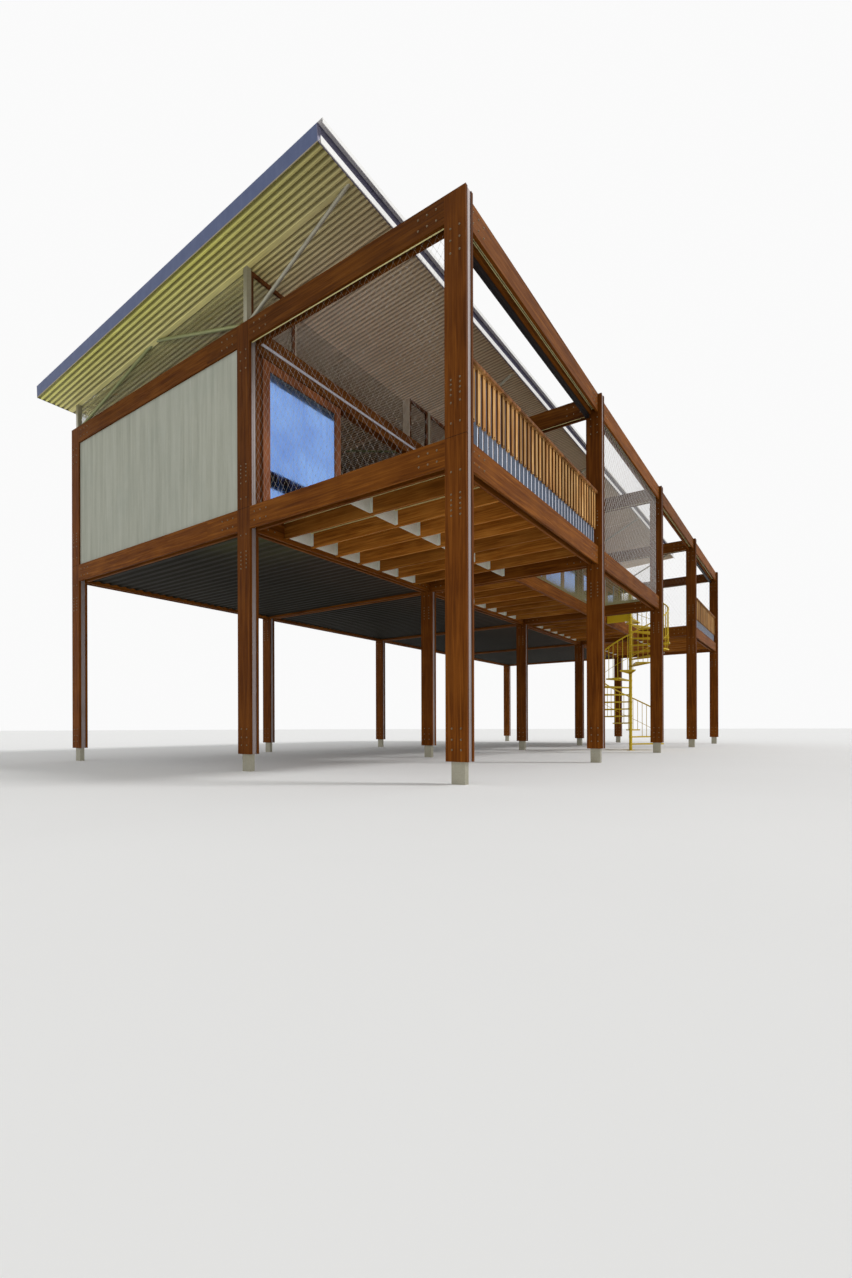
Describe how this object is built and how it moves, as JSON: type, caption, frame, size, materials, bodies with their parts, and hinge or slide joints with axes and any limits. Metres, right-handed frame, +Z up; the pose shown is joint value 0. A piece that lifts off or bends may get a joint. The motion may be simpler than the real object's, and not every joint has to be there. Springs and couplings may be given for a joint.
{
  "type": "stilt_house",
  "caption": "Long timber and steel house on tall stilts with a raised deck, a spiral stair and one sloping roof",
  "frame": {"origin": "centre of the plan on the ground, under the middle of the bounding box", "axes": "+X along the front to the right, +Y from the deck to the rear, +Z up"},
  "size_m": [23, 10.608, 8.9057],
  "materials": {
    "post_timber": "oiled hardwood boards",
    "beam_timber": "oiled hardwood boards",
    "joist_timber": "oiled hardwood",
    "frame_timber": "satin stained timber",
    "galvanised_steel": "dull galvanised",
    "grey_steel": "satin grey paint",
    "roof_metal": "satin coated sheet",
    "fibre_cement": "matt fibre cement board",
    "clear_glass": "clear",
    "steel_cable": "stainless cable",
    "net_cord": "woven dark cord",
    "yellow_steel": "satin yellow paint"
  },
  "bodies": {
    "house": {"front_posts": "post_timber", "middle_posts": "post_timber", "rear_posts": "post_timber", "post_cores": "galvanised_steel", "post_stubs": "galvanised_steel", "front_floor_beams": "beam_timber", "middle_floor_beams": "beam_timber", "rear_floor_beams": "beam_timber", "cross_floor_beams": "beam_timber", "floor_beam_cores": "galvanised_steel", "front_top_beams": "beam_timber", "middle_top_beams": "beam_timber", "rear_top_beams": "beam_timber", "cross_top_beams": "beam_timber", "top_beam_cores": "galvanised_steel", "deck_joists": "joist_timber", "deck_blocking": "galvanised_steel", "deck_boards": "joist_timber", "walkway_beam": "beam_timber", "house_floor": "joist_timber", "underfloor_sheet": "roof_metal", "end_walls": "fibre_cement", "rear_wall": "fibre_cement", "window_frames": "frame_timber", "window_glass": "clear_glass", "door_head": "frame_timber", "door_track": "galvanised_steel", "clerestory_frames": "frame_timber", "clerestory_glass": "clear_glass", "roof_columns": "galvanised_steel", "front_struts": "galvanised_steel", "rear_struts": "galvanised_steel", "roof_rafters": "grey_steel", "roof_soffit": "roof_metal", "roof_sheet": "roof_metal", "roof_front_channel": "roof_metal", "roof_side_plates": "grey_steel", "roof_rear_plate": "roof_metal", "balustrade_battens": "frame_timber", "balustrade_fins": "grey_steel", "blind_tracks": "grey_steel", "end_mesh": "steel_cable", "net_bay_mesh": "steel_cable", "walkway_mesh": "steel_cable", "fence_posts": "galvanised_steel", "stair_side_mesh": "steel_cable", "hanging_net": "net_cord", "stair_pole": "yellow_steel", "stair_treads": "yellow_steel", "stair_balusters": "yellow_steel", "stair_handrail": "yellow_steel", "stair_landing": "yellow_steel"},
    "sliding_door": {"door_leaf": "frame_timber", "door_glass": "clear_glass"}
  },
  "joints": [
    {"name": "door_slide", "type": "slide", "parent": "house", "child": "sliding_door", "axis": [1, 0, 0], "range_m": [0, 3.09]}
  ]
}
